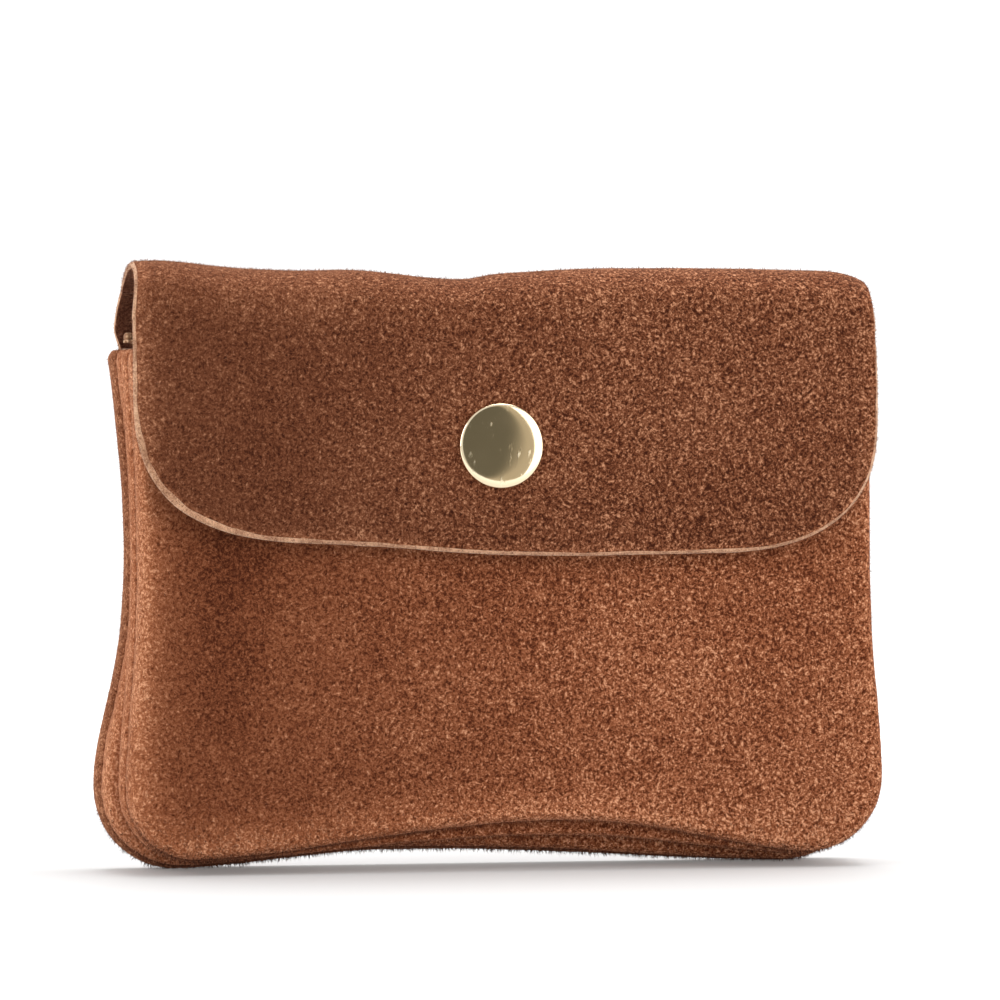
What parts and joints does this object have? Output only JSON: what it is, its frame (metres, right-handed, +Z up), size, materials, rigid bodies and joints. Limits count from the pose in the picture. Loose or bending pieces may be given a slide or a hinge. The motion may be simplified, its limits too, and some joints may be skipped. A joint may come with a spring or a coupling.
{
  "type": "flap wallet",
  "caption": "Small suede flap wallet that stands upright: two turned-seam pouches, a zipped pocket between them and a fold-over flap closed by a round press stud.",
  "frame": {"origin": "on the surface it stands on, under the middle of the wallet's box", "axes": "+X across the width, to the right as seen from the front; +Y towards the back; +Z up"},
  "size_m": [0.1406, 0.0286, 0.108],
  "materials": {
    "suede": "napped suede, brown",
    "suede_lining": "thin brown suede",
    "thread": "dark brown sewing thread",
    "zip_tape": "woven tape, tan",
    "brass": "polished pale gold plate",
    "spring_steel": "bright wire"
  },
  "bodies": {
    "back": {"back_panel": "suede", "card_pocket_upper": "suede_lining", "card_pocket_lower": "suede_lining", "card_pocket_thread": "thread", "rear_seam_thread": "thread"},
    "bridge": {"flap_bridge": "suede"},
    "flap": {"flap": "suede", "snap_cap": "brass", "snap_socket": "brass", "snap_spring": "spring_steel"},
    "middle": {"rear_inner_panel": "suede", "front_inner_panel": "suede", "front_seam_thread": "thread", "pocket_seam_thread": "thread", "zip_tape_front": "zip_tape", "zip_tape_rear": "zip_tape", "zip_tape_thread": "thread", "zip_teeth_front": "brass", "zip_teeth_rear": "brass", "zip_bottom_stop": "brass", "zip_top_stops": "brass"},
    "front_wall": {"front_panel": "suede", "snap_stud": "brass", "snap_post": "brass"},
    "slider": {"zip_slider": "brass"},
    "pull": {"zip_pull": "brass"}
  },
  "joints": [
    {"name": "flap_rise", "type": "hinge", "parent": "back", "child": "bridge", "pos_m": [0, 0.01435, 0.09255], "axis": [-1, 0, 0], "range_deg": [0, 60]},
    {"name": "flap_open", "type": "hinge", "parent": "bridge", "child": "flap", "pos_m": [0, -0.01315, 0.1081], "axis": [-1, 0, 0], "range_deg": [0, 150], "deforming": ["snap_spring"]},
    {"name": "rear_mouth", "type": "hinge", "parent": "back", "child": "middle", "pos_m": [0, 0.0058, 0], "axis": [1, 0, 0], "range_deg": [0, 4]},
    {"name": "front_mouth", "type": "hinge", "parent": "middle", "child": "front_wall", "pos_m": [0, -0.0056, 0.0003], "axis": [1, 0, 0], "range_deg": [0, 5]},
    {"name": "zip_slide", "type": "slide", "parent": "middle", "child": "slider", "axis": [-1, 0, 0], "range_m": [0, 0.108]},
    {"name": "zip_pull_lift", "type": "hinge", "parent": "slider", "child": "pull", "pos_m": [0.0546, 0.00295, 0.09657], "axis": [0, 1, 0], "range_deg": [0, 15]}
  ],
  "couplings": [
    {"joint": "flap_rise", "follows": "flap_open", "ratio": 0.4},
    {"joint": "rear_mouth", "follows": "flap_open", "ratio": 0.026666},
    {"joint": "front_mouth", "follows": "flap_open", "ratio": 0.033333}
  ]
}
